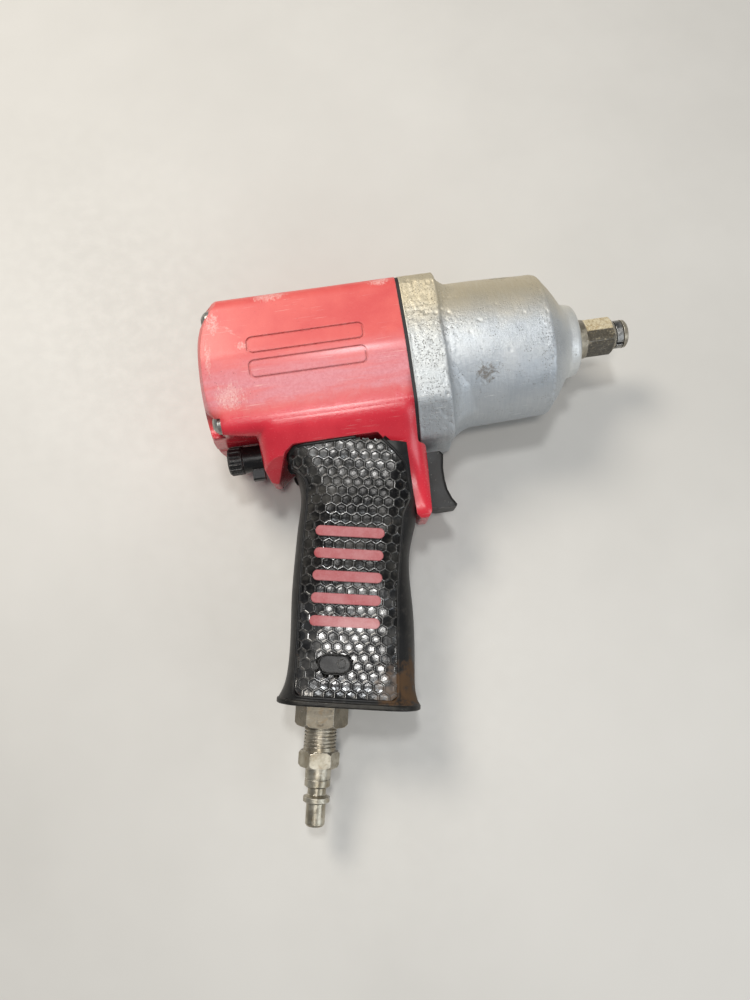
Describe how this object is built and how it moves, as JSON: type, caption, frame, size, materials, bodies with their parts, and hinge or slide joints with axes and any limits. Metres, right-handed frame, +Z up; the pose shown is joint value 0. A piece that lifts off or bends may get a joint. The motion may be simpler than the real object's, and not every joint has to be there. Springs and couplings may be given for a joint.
{
  "type": "pistol-grip air impact wrench",
  "caption": "Pistol-grip air impact wrench with a square drive, a cast hammer case, a moulded housing with rubber grip, trigger, regulator knob and a quick-connect air plug.",
  "frame": {"origin": "middle of the tool's outline on the table it lies on, so z = 0 is the table", "axes": "+X forward along the output shaft, +Z up off the table, +Y from the handle towards the top of the motor housing; the tool lies on its left side, turned 4.23 degrees about X so that the body and the edge of the handle base both touch the table"},
  "size_m": [0.1878, 0.2206, 0.066],
  "materials": {
    "red_composite": "glossy moulded composite, scuffed and dusty",
    "cast_aluminium": "cast, worn and pitted",
    "black_rubber": "glossy moulded rubber, worn",
    "red_rubber": "dull raised rubber inlay",
    "gasket_fibre": "compressed gasket sheet",
    "black_plastic": "hard moulded plastic",
    "hard_steel": "hardened steel, worn bright on the edges",
    "bare_steel": "machined steel",
    "plated_steel": "nickel plated steel, scratched",
    "black_steel": "black oxide steel",
    "bronze": "oil-filled bronze",
    "phenolic": "laminate vane stock",
    "felt": "pressed fibre silencer"
  },
  "bodies": {
    "housing": {"motor_housing": "red_composite", "grip_overmould": "black_rubber", "grip_panel_right": "black_rubber", "grip_panel_left": "black_rubber", "accent_bars_right": "red_rubber", "accent_bars_left": "red_rubber", "oval_insert_right": "black_plastic", "oval_insert_left": "black_plastic", "case_gasket": "gasket_fibre", "hammer_case": "cast_aluminium", "anvil_bushing": "bronze", "cylinder": "bare_steel", "rear_end_plate": "bare_steel", "front_end_plate": "bare_steel", "rear_bearing": "bare_steel", "front_bearing": "bare_steel", "reverse_bushing": "bronze", "pin_bushing": "bronze", "throttle_seat": "bronze", "throttle_spring": "bare_steel", "base_cap": "black_steel", "exhaust_muffler": "felt", "inlet_bushing": "plated_steel", "inlet_screen": "bronze", "inlet_washer": "gasket_fibre", "inlet_plug": "plated_steel", "case_screws": "bare_steel", "case_washers": "bare_steel"},
    "trigger_assembly": {"trigger": "black_plastic", "trigger_pin": "bare_steel"},
    "valve": {"throttle_valve": "black_plastic"},
    "regulator": {"regulator_knob": "black_plastic", "reverse_valve": "bare_steel", "knob_screw": "black_steel", "detent_ball": "bare_steel", "detent_spring": "bare_steel"},
    "rotor_train": {"rotor": "bare_steel", "rotor_vanes": "phenolic", "hammer_cage": "hard_steel", "hammer_pin_upper": "hard_steel", "hammer_pin_lower": "hard_steel"},
    "rear_hammer": {"hammer_rear": "hard_steel"},
    "front_hammer": {"hammer_front": "hard_steel"},
    "anvil_assembly": {"anvil": "hard_steel", "friction_ring": "bare_steel", "retainer_oring": "black_rubber"}
  },
  "joints": [
    {"name": "trigger_slide", "type": "slide", "parent": "housing", "child": "trigger_assembly", "axis": [-1, 0, 0], "range_m": [0, 0.005], "stiffness_N_per_m": 900, "springref_m": -0.003},
    {"name": "regulator_turn", "type": "hinge", "parent": "housing", "child": "regulator", "pos_m": [-0.07825, 0.04414, 0.03054], "axis": [1, 0, 0], "range_deg": [-45, 45]},
    {"name": "rotor_spin", "type": "hinge", "parent": "housing", "child": "rotor_train", "pos_m": [-0.05525, 0.07735, 0.033], "axis": [1, 0, 0], "continuous": true},
    {"name": "anvil_spin", "type": "hinge", "parent": "housing", "child": "anvil_assembly", "pos_m": [0.06175, 0.07735, 0.033], "axis": [1, 0, 0], "continuous": true},
    {"name": "valve_slide", "type": "slide", "parent": "housing", "child": "valve", "axis": [-1, 0, 0], "range_m": [0, 0.005]},
    {"name": "rear_hammer_rock", "type": "hinge", "parent": "rotor_train", "child": "rear_hammer", "pos_m": [0.00415, 0.0969, 0.03445], "axis": [1, 0, 0], "range_deg": [-3, 3]},
    {"name": "front_hammer_rock", "type": "hinge", "parent": "rotor_train", "child": "front_hammer", "pos_m": [0.02495, 0.0578, 0.03155], "axis": [1, 0, 0], "range_deg": [-3, 3]}
  ],
  "couplings": [
    {"joint": "valve_slide", "follows": "trigger_slide", "ratio": 1}
  ]
}
